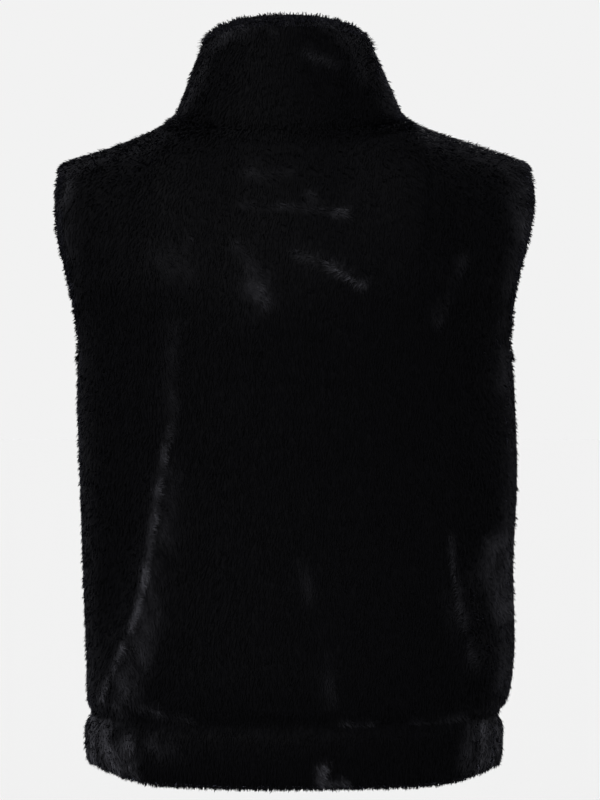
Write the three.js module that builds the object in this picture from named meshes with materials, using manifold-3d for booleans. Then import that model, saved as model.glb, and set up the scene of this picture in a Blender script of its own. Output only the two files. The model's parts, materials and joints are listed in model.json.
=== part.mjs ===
// A faux fur vest with a tall stand collar, a gathered hem band and a front zip closed to the top,
// filled out as it is when worn. Millimetres, +Z up. The wearer would face -Y, so the back of the vest
// is towards +Y and its left side towards +X. The origin is the middle of the neck, level with the
// points where the shoulder seams meet the collar.
import * as THREE from "three";
import { mergeVertices } from "three/addons/utils/BufferGeometryUtils.js";
import Module from "manifold-3d";

// Driving dimensions
const furWall = 11; // knitted backing and pile together
const seamGap = 0.3;
const hemZ = -622;
const hemSeamZ = -562;
const underarmZ = -228;
const shoulderDrop = 41;
const shoulderCornerDrop = 4;
const shoulderTipZ = -(shoulderDrop + shoulderCornerDrop);
const zipHalfGap = 6.5; // from the middle of the zip to the edge of each front
const hemLift = { middle: -2.2, left: 9.5, right: 7, from: 0.45, to: 0.9 }; // with s, towards the side seams
const edgeRadius = 7;
const edgeWall = 0.42; // share of the wall left at a free edge, where the fur rolls under

// The vest is worn a little askew: neck and collar lean to the left, and the right shoulder is higher.
const neck = { halfWidth: 110, back: 78, front: 95, backDrop: 18, frontDrop: 75, lean: 5.5 };
const collarTop = { halfWidth: 77, back: 64, front: 72, backZ: 91.5, sideZ: 72, frontZ: 36, lean: 8 };
const collarTopCurve = { back: 0.3, front: 0.5 }; // under 1 keeps the top's middle level for longer
const collarBulge = 1;
const shoulderSlant = { left: -2.5, right: 0.5 }; // added to the height of each shoulder seam's middle
const armhole = { backDepth: 60, frontDepth: 57, roundShare: 0.34, edgeTurn: 66 };
const yokeFan = { out: 14, width: 0.12 }; // how far the columns beside the neck spread, in mm and in s
const fullTurn = 90; // degrees from the middle of a panel to its side seam
const boxiness = 0.8; // under 1 squares the section's shoulders

// Half widths and depths of the vest at each height, over the pile
const outline = [
  { z: -622, left: 190, right: 189, back: 118, front: 122 },
  { z: -612, left: 195.5, right: 194, back: 124, front: 128 },
  { z: -592, left: 197.5, right: 195.5, back: 127, front: 130 },
  { z: -576, left: 197, right: 195.5, back: 126, front: 129.5 },
  { z: -562, left: 193.5, right: 193, back: 122.5, front: 127.5 },
  { z: -551, left: 197, right: 201, back: 127, front: 130 },
  { z: -530, left: 198, right: 206, back: 129, front: 132 },
  { z: -496, left: 199, right: 208.5, back: 127, front: 131 },
  { z: -420, left: 202, right: 207.5, back: 122, front: 128 },
  { z: -344, left: 204.5, right: 211, back: 119, front: 127 },
  { z: -268, left: 207, right: 209, back: 123, front: 131 },
  { z: -228, left: 206.5, right: 206, back: 127, front: 133 },
  { z: -190, left: 208, right: 205.5, back: 130, front: 133 },
  { z: -154, left: 214.5, right: 210.5, back: 130, front: 130 },
  { z: -116, left: 224, right: 220.5, back: 128, front: 126 },
  { z: -78, left: 231, right: 231, back: 124, front: 120 },
  { z: -59, left: 231.5, right: 231, back: 122, front: 118 },
  { z: -45, left: 226, right: 225, back: 120, front: 116 },
];

// Long soft folds. x and z run along each fold's crest, seen from the back or from the front.
const folds = [
  { face: "back", rise: 7, width: 20, crest: [[111, -214], [124, -340], [146, -462], [178, -538]] },
  { face: "back", rise: -5, width: 17, crest: [[140, -330], [152, -400], [166, -452], [188, -520]] },
  { face: "back", rise: 4.5, width: 18, crest: [[-140, -385], [-148, -430], [-162, -480], [-182, -540]] },
  { face: "back", rise: -3, width: 16, crest: [[-164, -400], [-176, -450], [-194, -510]] },
  { face: "back", rise: 2.5, width: 15, crest: [[52, -126], [24, -182]] },
  { face: "back", rise: 2.5, width: 14, crest: [[-4, -130], [-66, -164]] },
  { face: "front", rise: 5, width: 19, crest: [[98, -250], [112, -340], [138, -440], [170, -536]] },
  { face: "front", rise: -3.5, width: 16, crest: [[134, -360], [158, -440], [184, -516]] },
  { face: "front", rise: 5, width: 19, crest: [[-94, -262], [-110, -360], [-140, -452], [-174, -538]] },
  { face: "front", rise: -3.5, width: 16, crest: [[-136, -370], [-160, -450], [-188, -520]] },
];

const gather = { height: 2.6, wave: 25, reach: 74, backReach: 30 }; // of the hem band, near its side seams

const fur = new THREE.MeshStandardMaterial({ color: 0x0b0b0d, roughness: 0.9, metalness: 0 });
const tapeCloth = new THREE.MeshStandardMaterial({ color: 0x0c0c0e, roughness: 0.8, metalness: 0 });
const teethPlastic = new THREE.MeshStandardMaterial({ color: 0x101012, roughness: 0.4, metalness: 0 });
const darkMetal = new THREE.MeshStandardMaterial({ color: 0x1a1a1d, roughness: 0.35, metalness: 0.9 });

const radians = (degrees) => (degrees * Math.PI) / 180;
const clamp01 = (value) => Math.min(1, Math.max(0, value));
const mix = (a, b, share) => a + (b - a) * share;
const smooth = (value) => clamp01(value) ** 2 * (3 - 2 * clamp01(value));

// A column of the outline table at a height, on a smooth curve through its rows.
function outlineAt(column, z) {
  const last = outline.length - 2;
  const found = outline.findIndex((row, i) => i <= last && z <= outline[i + 1].z);
  const i = found < 0 ? last : found;
  const slope = (j) => {
    const a = outline[Math.max(j - 1, 0)];
    const b = outline[Math.min(j + 1, outline.length - 1)];
    return (b[column] - a[column]) / (b.z - a.z);
  };
  const [low, high] = [outline[i], outline[i + 1]];
  const step = high.z - low.z;
  const t = clamp01((z - low.z) / step);
  const bend = t * t * (3 - 2 * t);
  return (
    mix(low[column], high[column], bend) +
    step * (slope(i) * t * (1 - t) ** 2 - slope(i + 1) * t * t * (1 - t))
  );
}

// Panels are laid out by s, from 0 at the middle of the back or front to 1 at the side seam, and by a
// row: a height z below the underarm, and above it a share f of the way up to the shoulder or neck.
const sNeck = 0.46; // where the shoulder seam meets the collar

// A half ellipse round the neck, at a share of the way across from its middle to its side.
function neckRing(share, side, face, ring, z) {
  const start = face === "back" ? 0 : zipHalfGap;
  const across = start + (ring.halfWidth - start) * share;
  const lean = ring.lean * (face === "back" ? 1 : share ** 2);
  const depth = Math.sqrt(Math.max(0, 1 - share ** 2)) * (face === "back" ? ring.back : -ring.front);
  return new THREE.Vector3(across * side + lean, depth, z);
}

// The edge that the shoulder seam and the neck seam give a panel's top.
function topEdge(s, side, face) {
  if (s < sNeck) {
    const share = s / sNeck;
    const drop = face === "back" ? neck.backDrop : neck.frontDrop;
    return neckRing(share, side, face, neck, -drop * (1 - share ** 2) ** 0.75);
  }
  const along = (s - sNeck) / (1 - sNeck);
  const tip = outlineAt(side > 0 ? "left" : "right", shoulderTipZ) * side;
  const slant = shoulderSlant[side > 0 ? "left" : "right"] * Math.sin(Math.PI * along);
  const z = slant - shoulderDrop * along ** 0.8 - shoulderCornerDrop * along ** 10;
  return new THREE.Vector3(mix(neck.halfWidth * side + neck.lean, tip, along), 0, z);
}

// A point of the body over the pile, before its folds are added.
function bodyPoint(s, row, side, face) {
  const f = row.f ?? 0;
  const edgeZ = row.z ?? mix(underarmZ, shoulderTipZ, f);
  const halfWidth = outlineAt(side > 0 ? "left" : "right", edgeZ);
  const depth = outlineAt(face, Math.min(edgeZ, mix(underarmZ, shoulderTipZ, 0.5)));
  const turn = radians(mix(fullTurn, armhole.edgeTurn, smooth(f / 0.5)));
  const start = face === "front" ? zipHalfGap * Math.max(0, 1 - s / sNeck) : 0;
  const straight = (Math.sin(s * turn) / Math.sin(turn)) * halfWidth + start;
  const ring = depth * Math.max(0, Math.cos(radians(s * fullTurn))) ** boxiness;
  if (!f) {
    const down = clamp01((hemSeamZ - edgeZ) / (hemSeamZ - hemZ));
    const aside = smooth((s - hemLift.from) / (hemLift.to - hemLift.from));
    const lift = mix(hemLift.middle, side > 0 ? hemLift.left : hemLift.right, aside) * down ** 2;
    return new THREE.Vector3(straight * side, face === "back" ? ring : -ring, edgeZ + lift);
  }
  const top = topEdge(s, side, face);
  const edgeDepth = face === "back" ? armhole.backDepth : armhole.frontDepth;
  const widest = radians(armhole.edgeTurn);
  const arc = (Math.cos(s * widest) - Math.cos(widest)) / (1 - Math.cos(widest));
  const yoke = edgeDepth + (depth - edgeDepth) * arc;
  const rise = clamp01(f / armhole.roundShare);
  const opened = mix(smooth(rise), Math.sqrt(1 - (1 - rise) ** 2), s ** 10);
  const body = mix(ring, yoke, opened);
  const overShoulder = Math.sqrt(1 - f ** 3);
  const upToNeck = 1 - f ** 2.2;
  const fall = mix(upToNeck, overShoulder, smooth((s / sNeck - 0.3) / 0.7));
  const y = mix(Math.abs(top.y), body, fall);
  const fan = yokeFan.out * Math.exp(-(((s - sNeck) / yokeFan.width) ** 2)) * Math.sin(Math.PI * f ** 3);
  const x = mix(straight * side, top.x, f ** 2.5) + fan * side;
  return new THREE.Vector3(x, face === "back" ? y : -y, mix(underarmZ, top.z, f));
}

// How far a point in x and z lies from a fold's crest, and how far along the crest, from 0 to 1.
function besideFold(x, z, crest) {
  let best = { away: Infinity, along: 0 };
  for (let i = 0; i < crest.length - 1; i += 1) {
    const [[ax, az], [bx, bz]] = [crest[i], crest[i + 1]];
    const t = clamp01(((x - ax) * (bx - ax) + (z - az) * (bz - az)) / ((bx - ax) ** 2 + (bz - az) ** 2));
    const away = Math.hypot(x - mix(ax, bx, t), z - mix(az, bz, t));
    if (away < best.away) best = { away, along: (i + t) / (crest.length - 1) };
  }
  return best;
}

// The point moved out by the folds of its face, which fade at the side seams and at their own ends.
function folded(point, face) {
  let rise = 0;
  for (const fold of folds.filter((each) => each.face === face)) {
    const { away, along } = besideFold(point.x, point.z, fold.crest);
    const strength = 0.35 + 0.65 * Math.sin(Math.PI * along ** 1.3);
    rise += fold.rise * strength * Math.exp(-((away / fold.width) ** 2));
  }
  const fade = smooth((Math.abs(point.y) - 4) / 40) * smooth((point.z - hemSeamZ) / 30);
  const out = new THREE.Vector2(point.x / 208 ** 2, point.y / 125 ** 2).normalize();
  return new THREE.Vector3(point.x + out.x * rise * fade, point.y + out.y * rise * fade, point.z);
}

// The collar: s as for the body, up to sNeck, and c from 0 at the neck seam to 1 at its top edge.
function collarPoint(s, c, side, face) {
  const share = s / sNeck;
  const middleZ = face === "back" ? collarTop.backZ : collarTop.frontZ;
  const z = mix(collarTop.sideZ, middleZ, Math.max(0, 1 - share ** 2) ** collarTopCurve[face]);
  const top = neckRing(share, side, face, collarTop, z);
  const seam = share < 1 ? topEdge(s, side, face) : topEdge(sNeck, side, face);
  const point = seam.lerp(top, c);
  const bulge = collarBulge * Math.sin(Math.PI * c ** 1.6);
  const out = new THREE.Vector2(point.x * share, point.y).normalize().multiplyScalar(bulge);
  return new THREE.Vector3(point.x + out.x, point.y + out.y, point.z);
}

// How far the hem band's gathers stand out, by the distance round the hem from a side seam.
function gatherHeight(round, down, face) {
  const reach = gather.reach + (face === "back" ? gather.backReach : 0);
  const fade = smooth(1.15 - round / reach) * smooth(down / 6) * smooth((1 - down / (hemSeamZ - hemZ)) * 3);
  const wander = Math.sin(round / 17 + (face === "back" ? 0.6 : 2.1)) * 0.9;
  return gather.height * fade * (0.55 + 0.45 * Math.sin((2 * Math.PI * round) / gather.wave + wander));
}

// A grid holds rows of columns of points. Points of neighbouring panels meet at the seams, and
// share one direction through the wall there, so that the seams' faces lie together.
function gridOf(name, rows, columns, pointAt) {
  const points = rows.map((row) => columns.map((column) => pointAt(column, row)));
  return { name, rows, columns, points };
}

function facing(grid) {
  const across = grid.points[0].length;
  const normals = grid.points.map((row) => row.map(() => new THREE.Vector3()));
  for (let i = 0; i < grid.points.length - 1; i += 1) {
    for (let j = 0; j < across - 1; j += 1) {
      const [a, b] = [grid.points[i][j], grid.points[i][j + 1]];
      const [c, d] = [grid.points[i + 1][j + 1], grid.points[i + 1][j]];
      const normal = c.clone().sub(a).cross(d.clone().sub(b));
      for (const [p, q] of [[i, j], [i, j + 1], [i + 1, j + 1], [i + 1, j]]) normals[p][q].add(normal);
    }
  }
  return normals;
}

const seamKey = (p) => [p.x, p.y, p.z].map((value) => Math.round(value * 50)).join();

function shareFacing(grids) {
  const shared = new Map();
  for (const grid of grids) {
    grid.normals = facing(grid);
    grid.points.forEach((row, i) => {
      row.forEach((point, j) => {
        const key = seamKey(point);
        if (!shared.has(key)) shared.set(key, new THREE.Vector3());
        shared.get(key).add(grid.normals[i][j]);
      });
    });
  }
  for (const grid of grids) {
    const facingAt = (point) => shared.get(seamKey(point)).clone().normalize();
    grid.normals = grid.points.map((row) => row.map(facingAt));
  }
}

// Rows on the hem seam face straight out, so that body and band meet on a level face.
function levelRow(normals) {
  for (const normal of normals) normal.setZ(0).normalize();
}

// The share of the wall left at a point, which thins to a rolled edge near a free edge.
function wallShare(point, freeEdge) {
  const away = Math.min(...freeEdge.map((p) => p.distanceTo(point)), edgeRadius);
  const roll = Math.sqrt(Math.max(0, 1 - (1 - away / edgeRadius) ** 2));
  return mix(edgeWall, 1, roll);
}

function denser(points, most) {
  return points.flatMap((p, i) => {
    if (!i) return [p];
    const steps = Math.max(1, Math.ceil(p.distanceTo(points[i - 1]) / most));
    return Array.from({ length: steps }, (_, k) => points[i - 1].clone().lerp(p, (k + 1) / steps));
  });
}

// A closed wall between two surfaces given as rows of points that face the same way.
function wallBetween(outer, inner) {
  const [down, across] = [outer.length, outer[0].length];
  const place = (layer, i, j) => layer * down * across + i * across + j;
  const position = [outer, inner].flat(2).flatMap((p) => [p.x, p.y, p.z]);
  const index = [];
  const quad = (a, b, c, d) => index.push(a, b, c, a, c, d);
  for (let i = 0; i < down - 1; i += 1) {
    for (let j = 0; j < across - 1; j += 1) {
      quad(place(0, i, j), place(0, i, j + 1), place(0, i + 1, j + 1), place(0, i + 1, j));
      quad(place(1, i, j), place(1, i + 1, j), place(1, i + 1, j + 1), place(1, i, j + 1));
    }
  }
  for (let j = 0; j < across - 1; j += 1) {
    quad(place(0, 0, j), place(1, 0, j), place(1, 0, j + 1), place(0, 0, j + 1));
    quad(place(0, down - 1, j), place(0, down - 1, j + 1), place(1, down - 1, j + 1), place(1, down - 1, j));
  }
  for (let i = 0; i < down - 1; i += 1) {
    quad(place(0, i, 0), place(0, i + 1, 0), place(1, i + 1, 0), place(1, i, 0));
    const [a, b] = [place(0, i, across - 1), place(1, i, across - 1)];
    quad(a, b, b + across, a + across);
  }
  const geometry = new THREE.BufferGeometry();
  geometry.setAttribute("position", new THREE.Float32BufferAttribute(position, 3));
  geometry.setIndex(index);
  return geometry;
}

// Each border of a panel drawn back from its seam by half the gap.
function drawnBack(points) {
  const moved = points.map((row) => row.map((p) => p.clone()));
  const [down, across] = [points.length, points[0].length];
  const pull = (i, j, k, l) => {
    const way = points[k][l].clone().sub(points[i][j]).normalize();
    moved[i][j].addScaledVector(way, seamGap / 2);
  };
  for (let j = 0; j < across; j += 1) {
    pull(0, j, 1, j);
    pull(down - 1, j, down - 2, j);
  }
  for (let i = 0; i < down; i += 1) {
    pull(i, 0, i, 1);
    pull(i, across - 1, i, across - 2);
  }
  return moved;
}

function furPanel(grid, freeEdge) {
  const through = (share) =>
    grid.points.map((row, i) =>
      row.map((point, j) => {
        const left = wallShare(point, freeEdge);
        const depth = (furWall * (share > 0 ? 1 + left : 1 - left)) / 2;
        const raised = share > 0 || !grid.raise ? 0 : grid.raise[i][j] * left;
        return point.clone().addScaledVector(grid.normals[i][j], raised - depth);
      }),
    );
  return wallBetween(drawnBack(through(0)), drawnBack(through(1)));
}

// The rows and columns of the panels, closer together near free edges
const bodyRows = [
  ...[hemSeamZ, -552, -536, -508, -472, -434, -394, -352, -310, -274, -246].map((z) => ({ z })),
  ...[0, 0.02, 0.07, 0.14, 0.22, 0.33, 0.46, 0.6, 0.73, 0.84, 0.92, 0.97, 1].map((f) => ({ f })),
];
const bandRows = [hemSeamZ, -569, -580, -593, -607, -616, -620.4, hemZ].map((z) => ({ z })).reverse();
const neckSteps = [0.2, 0.4, 0.58, 0.74, 0.87, 0.96, 1].map((share) => sNeck * share);
const shoulderSteps = [0.12, 0.26, 0.42, 0.58, 0.73, 0.85, 0.94, 1].map((t) => mix(sNeck, 1, t));
const zipEdgeSteps = [0, 0.007, 0.024];
const backHalf = [...neckSteps, ...shoulderSteps];
const collarRows = [0, 0.14, 0.32, 0.5, 0.66, 0.8, 0.92, 0.975, 1];
const mirrored = (steps) => [...[...steps].reverse().map((s) => -s), 0, ...steps];

// Columns run from the wearer's left round the back to the right, and the other way at the front,
// so that every panel faces out.
const sideOf = (signed) => (signed < 0 ? -1 : 1);
const backColumns = mirrored(backHalf).reverse();
const frontSteps = [...zipEdgeSteps, ...backHalf];

const bodyAt = (face) => (signed, row) =>
  folded(bodyPoint(Math.abs(signed), row, sideOf(signed), face), face);
// The middle of the back lies between the two halves, which differ a little in width.
function backAt(signed, row) {
  if (signed !== 0) return bodyAt("back")(signed, row);
  return bodyAt("back")(1e-6, row).lerp(bodyAt("back")(-1e-6, row), 0.5);
}

const back = gridOf("back", bodyRows, backColumns, backAt);
const frontLeft = gridOf("front_left", bodyRows, frontSteps, bodyAt("front"));
const frontRightColumns = frontSteps.map((s) => -s).reverse();
const rightFront = (signed, row) => folded(bodyPoint(Math.abs(signed), row, -1, "front"), "front");
const frontRight = gridOf("front_right", bodyRows, frontRightColumns, rightFront);

// The collar runs from the left edge of the zip round the back to its right edge.
const collarColumns = [
  ...[...zipEdgeSteps, ...neckSteps].map((s) => ({ s, side: 1, face: "front" })),
  ...[...neckSteps].reverse().slice(1).map((s) => ({ s, side: 1, face: "back" })),
  { s: 0, side: 1, face: "back" },
  ...neckSteps.slice(0, -1).map((s) => ({ s, side: -1, face: "back" })),
  ...[...zipEdgeSteps, ...neckSteps].reverse().map((s) => ({ s, side: -1, face: "front" })),
];
const collarAt = ({ s, side, face }, c) => collarPoint(s, c, side, face);
const collar = gridOf("collar", collarRows, collarColumns, collarAt);

// The hem band, with more columns where it is gathered.
const bandSteps = 46;
const bandHalf = Array.from({ length: bandSteps }, (_, i) => (i + 1) / bandSteps).filter(
  (s, i) => s > 0.52 || i % 3 === 2,
);
const bandBackColumns = mirrored(bandHalf).reverse();
const bandFrontHalf = [...zipEdgeSteps, ...bandHalf.filter((s) => s > 0.04)];
const bandFace = (face) => (signed, row) => bodyPoint(Math.abs(signed), row, sideOf(signed), face);
const bandRightFront = (signed, row) => bodyPoint(Math.abs(signed), row, -1, "front");
const bandBack = gridOf("hem_band_back", bandRows, bandBackColumns, bandFace("back"));
const bandLeft = gridOf("hem_band_left", bandRows, bandFrontHalf, bandFace("front"));
const bandRight = gridOf("hem_band_right", bandRows, bandFrontHalf.map((s) => -s).reverse(), bandRightFront);

shareFacing([back, frontLeft, frontRight, collar]);
shareFacing([bandBack, bandLeft, bandRight]);
for (const grid of [back, frontLeft, frontRight]) levelRow(grid.normals[0]);
for (const grid of [bandBack, bandLeft, bandRight]) levelRow(grid.normals[bandRows.length - 1]);

// Gathers raise the band's outside only, over a plain inside.
for (const [grid, face] of [[bandBack, "back"], [bandLeft, "front"], [bandRight, "front"]]) {
  grid.raise = grid.points.map((row, i) => {
    const lengths = new Map();
    for (const way of [1, -1]) {
      const onSide = (signed) => sideOf(signed) === way || signed === 0;
      const order = grid.columns.map((_, j) => j).filter((j) => onSide(grid.columns[j]));
      order.sort((p, q) => Math.abs(grid.columns[q]) - Math.abs(grid.columns[p]));
      let round = 0;
      order.forEach((j, k) => {
        if (k) round += row[j].distanceTo(row[order[k - 1]]);
        if (!lengths.has(j)) lengths.set(j, round);
      });
    }
    return row.map((_, j) => gatherHeight(lengths.get(j), hemSeamZ - bandRows[i].z, face));
  });
}

// Free edges, where the fur rolls under
const column = (grid, j) => grid.points.map((row) => row.at(j));
const armholeRows = (grid, j) => column(grid, j).slice(bodyRows.findIndex((row) => row.f === 0));
const armholeLeft = denser([...armholeRows(frontLeft, -1), ...armholeRows(back, 0).reverse()], 3);
const armholeRight = denser([...armholeRows(frontRight, 0), ...armholeRows(back, -1).reverse()], 3);
const zipEdgeLeft = denser([...column(frontLeft, 0), ...column(collar, 0)], 4);
const zipEdgeRight = denser([...column(frontRight, -1), ...column(collar, -1)], 4);
const collarRim = denser(collar.points.at(-1), 3);
const hemEdge = (grid) => denser(grid.points[0], 3);

const solids = [
  ["back", back, [...armholeLeft, ...armholeRight]],
  ["front_left", frontLeft, [...armholeLeft, ...zipEdgeLeft]],
  ["front_right", frontRight, [...armholeRight, ...zipEdgeRight]],
  ["collar", collar, [...collarRim, ...zipEdgeLeft, ...zipEdgeRight]],
  ["hem_band_back", bandBack, hemEdge(bandBack)],
  ["hem_band_left", bandLeft, [...hemEdge(bandLeft), ...denser(column(bandLeft, 0), 4)]],
  ["hem_band_right", bandRight, [...hemEdge(bandRight), ...denser(column(bandRight, -1), 4)]],
].map(([name, grid, freeEdge]) => {
  const mesh = new THREE.Mesh(furPanel(grid, freeEdge), fur);
  mesh.name = name;
  return mesh;
});

const vest = new THREE.Group();
vest.add(...solids);

// The zip lies behind the edges of the two fronts, from the hem to the top of the collar. Depths are
// measured square to the wall, in from the tips of the pile.
const tape = { innerEdge: 1.2, thickness: 1, clearance: 0.35, fromZ: -612 };
const teeth = { width: 5.8, thickness: 2.4, fromZ: -596.7, toZ: 19.2 };
const bottomBox = { width: 8, thickness: 3.4, fromZ: -606, toZ: -597 };
const slider = {
  fromZ: 11.3,
  toZ: 23.3,
  topWidth: 9.4,
  bottomWidth: 7.4,
  plate: 1.7,
  wedgeWidth: 1.7,
  wedgeLength: 3.4,
  cornerRadius: 1.6,
  bridge: { from: -4, to: 4, height: 4.6, width: 1.8, bar: 1.5 },
};
const pullTab = { length: 25, width: 7, thickness: 1.2, bar: 1.6, window: 5.4, windowWidth: 4.2, lift: 1.2 };
const tapeFront = furWall + tape.clearance;
const tapeBack = tapeFront + tape.thickness;
const teethBack = tapeFront - seamGap;
const teethFront = teethBack - teeth.thickness;

// The edge of a front from the bottom of the band to the top of the collar, as points and facings.
function edgeLine(grids, j) {
  return grids.flatMap((grid, k) =>
    grid.points.map((row, i) => ({ point: row.at(j), normal: grid.normals[i].at(j) })).slice(k ? 1 : 0),
  );
}

// A point moved in from the pile by a depth measured square to the wall, without leaving its x.
function movedIn({ point, normal }, depth) {
  const share = depth / (normal.y ** 2 + normal.z ** 2);
  return new THREE.Vector3(point.x, point.y - normal.y * share, point.z - normal.z * share);
}

function tapeWall(side) {
  const grids = side > 0 ? [bandLeft, frontLeft, collar] : [bandRight, frontRight, collar];
  const lines = (side > 0 ? [0, 2] : [-1, -3]).map((j) =>
    edgeLine(grids, j).filter(({ point }) => point.z >= tape.fromZ),
  );
  const innerLine = lines[0].map(({ point, normal }) => ({
    point: point.clone().setX(tape.innerEdge * side),
    normal,
  }));
  const columns = side > 0 ? [innerLine, ...lines] : [...lines.reverse(), innerLine];
  const layer = (depth) => innerLine.map((_, i) => columns.map((line) => movedIn(line[i], depth)));
  return wallBetween(layer(tapeFront), layer(tapeBack));
}

// The line of the zip in its own middle plane, and a place on it at a height and a depth.
const zipLine = edgeLine([bandLeft, frontLeft, collar], 0).map(({ point, normal }) => ({
  point: point.clone().setX(0),
  normal,
}));

// Rows are counted up the zip, with a share of the way to the next one.
function zipRowAt(z) {
  const line = zipLine.map((place) => movedIn(place, tapeFront));
  const i = Math.min(line.findIndex((p, k) => k && p.z >= z), line.length - 1);
  return i - 1 + (z - line[i - 1].z) / (line[i].z - line[i - 1].z);
}

function zipPlace(row, depth) {
  const i = Math.min(Math.floor(row), zipLine.length - 2);
  return movedIn(zipLine[i], depth).lerp(movedIn(zipLine[i + 1], depth), row - i);
}

// A straight-sided strip that follows the zip between two heights and two depths.
function zipStrip({ width, fromZ, toZ }, near, far) {
  const [from, to] = [zipRowAt(fromZ), zipRowAt(toZ)];
  const between = zipLine.map((_, i) => i).filter((i) => i > from + 0.05 && i < to - 0.05);
  const layer = (depth) =>
    [from, ...between, to].map((row) =>
      [-1, 1].map((side) => zipPlace(row, depth).setX((side * width) / 2)),
    );
  return wallBetween(layer(near), layer(far));
}

// Slider and pull tab are made flat, with x across, y up the zip and z out of it, then laid on the zip.
const sliderMiddle = (slider.fromZ + slider.toZ) / 2;
const sliderPlace = zipPlace(zipRowAt(sliderMiddle), teethFront);
const sliderTop = zipPlace(zipRowAt(slider.toZ), teethFront);
const upTheZip = sliderTop.clone().sub(zipPlace(zipRowAt(slider.fromZ), teethFront)).normalize();
const sliderLength = (slider.toZ - slider.fromZ) / upTheZip.z;
const outOfZip = new THREE.Vector3(1, 0, 0).cross(upTheZip);
const ontoZip = new THREE.Matrix4()
  .makeBasis(new THREE.Vector3(1, 0, 0), upTheZip, outOfZip)
  .setPosition(sliderPlace);

const wasm = await Module();
wasm.setup();

function solidOf(geometry) {
  const bare = new THREE.BufferGeometry();
  const source = geometry.index ? geometry.toNonIndexed() : geometry;
  bare.setAttribute("position", source.getAttribute("position"));
  const merged = mergeVertices(bare, 1e-4);
  return new wasm.Manifold(
    new wasm.Mesh({
      numProp: 3,
      vertProperties: new Float32Array(merged.getAttribute("position").array),
      triVerts: new Uint32Array(merged.index.array),
    }),
  );
}

function geometryOf(solid) {
  const { vertProperties, triVerts } = solid.getMesh();
  const geometry = new THREE.BufferGeometry();
  geometry.setAttribute("position", new THREE.BufferAttribute(new Float32Array(vertProperties), 3));
  geometry.setIndex(new THREE.BufferAttribute(new Uint32Array(triVerts), 1));
  return geometry;
}

// A plate that tapers from its top width to its bottom width, with round corners.
function roundedPlate(topWidth, bottomWidth, from, to, corner) {
  const shape = new THREE.Shape();
  const corners = [
    [topWidth / 2, to],
    [-topWidth / 2, to],
    [-bottomWidth / 2, from],
    [bottomWidth / 2, from],
  ];
  corners.forEach(([x, y], i) => {
    const here = new THREE.Vector2(x, y);
    const before = new THREE.Vector2(...corners.at(i - 1)).sub(here).setLength(corner).add(here);
    const after = new THREE.Vector2(...corners[(i + 1) % 4]).sub(here).setLength(corner).add(here);
    if (i) shape.lineTo(before.x, before.y);
    else shape.moveTo(before.x, before.y);
    shape.quadraticCurveTo(x, y, after.x, after.y);
  });
  shape.closePath();
  return shape;
}

const extruded = (shape, depth) =>
  new THREE.ExtrudeGeometry(shape, { depth, bevelEnabled: false, curveSegments: 3 });

// The bridge that the pull tab hangs from: an arch along the zip, over the slider's front plate.
function bridgeShape({ from, to, height, bar }) {
  const arch = (left, right, top) => {
    const shape = new THREE.Path();
    shape.moveTo(left, -0.5);
    shape.lineTo(left, top * 0.55);
    shape.quadraticCurveTo(left, top, left + 1.6, top);
    shape.lineTo(right - 1.6, top);
    shape.quadraticCurveTo(right, top, right, top * 0.55);
    shape.lineTo(right, -0.5);
    return shape.getPoints(3);
  };
  const outside = arch(from, to, height);
  const inside = arch(from + bar, to - bar, height - bar).reverse();
  return new THREE.Shape([...outside, ...inside]);
}

function sliderGeometry() {
  const half = sliderLength / 2;
  const plate = roundedPlate(slider.topWidth, slider.bottomWidth, -half, half, slider.cornerRadius);
  const front = extruded(plate, slider.plate).translate(0, 0, seamGap);
  const behind = -(tapeBack - teethFront) - seamGap - slider.plate;
  const rear = extruded(plate, slider.plate).translate(0, 0, behind);
  const wedgeDepth = seamGap - behind;
  const wedge = new THREE.BoxGeometry(slider.wedgeWidth, slider.wedgeLength, wedgeDepth);
  wedge.translate(0, half - slider.wedgeLength / 2 - 0.2, behind + slider.plate / 2 + wedgeDepth / 2);
  const bridge = extruded(bridgeShape(slider.bridge), slider.bridge.width)
    .translate(0, 0, -slider.bridge.width / 2)
    .applyMatrix4(new THREE.Matrix4().makeBasis(
      new THREE.Vector3(0, 1, 0),
      new THREE.Vector3(0, 0, 1),
      new THREE.Vector3(1, 0, 0),
    ))
    .translate(0, 0, seamGap + slider.plate);
  const joined = [rear, wedge, bridge].reduce((whole, piece) => whole.add(solidOf(piece)), solidOf(front));
  return geometryOf(joined).applyMatrix4(ontoZip);
}

// The tab hangs down the zip from a bar that passes under the bridge.
function pullTabGeometry() {
  const { length, width, thickness, bar, window, windowWidth, lift } = pullTab;
  const outlineShape = roundedPlate(width, width * 0.8, bar / 2 - length, bar / 2, 0.9);
  const hole = roundedPlate(windowWidth, windowWidth, -bar / 2 - window, -bar / 2, 0.7);
  outlineShape.holes.push(new THREE.Path(hole.getPoints(3)));
  return extruded(outlineShape, thickness)
    .translate(0, 0, seamGap + slider.plate + lift - thickness / 2)
    .applyMatrix4(ontoZip);
}

const zipPieces = [
  ["zip_tape_left", tapeWall(1), tapeCloth],
  ["zip_tape_right", tapeWall(-1), tapeCloth],
  ["zip_teeth", zipStrip(teeth, teethFront, teethBack), teethPlastic],
  ["zip_bottom_box", zipStrip(bottomBox, teethBack - bottomBox.thickness, teethBack), teethPlastic],
  ["zip_slider", sliderGeometry(), darkMetal],
  ["zip_pull_tab", pullTabGeometry(), darkMetal],
];

for (const [name, geometry, material] of zipPieces) {
  const mesh = new THREE.Mesh(geometry, material);
  mesh.name = name;
  vest.add(mesh);
}

export default vest;
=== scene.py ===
import json
import math

import bmesh
import bpy
import numpy as np
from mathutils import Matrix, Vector
from mathutils.kdtree import KDTree

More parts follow.
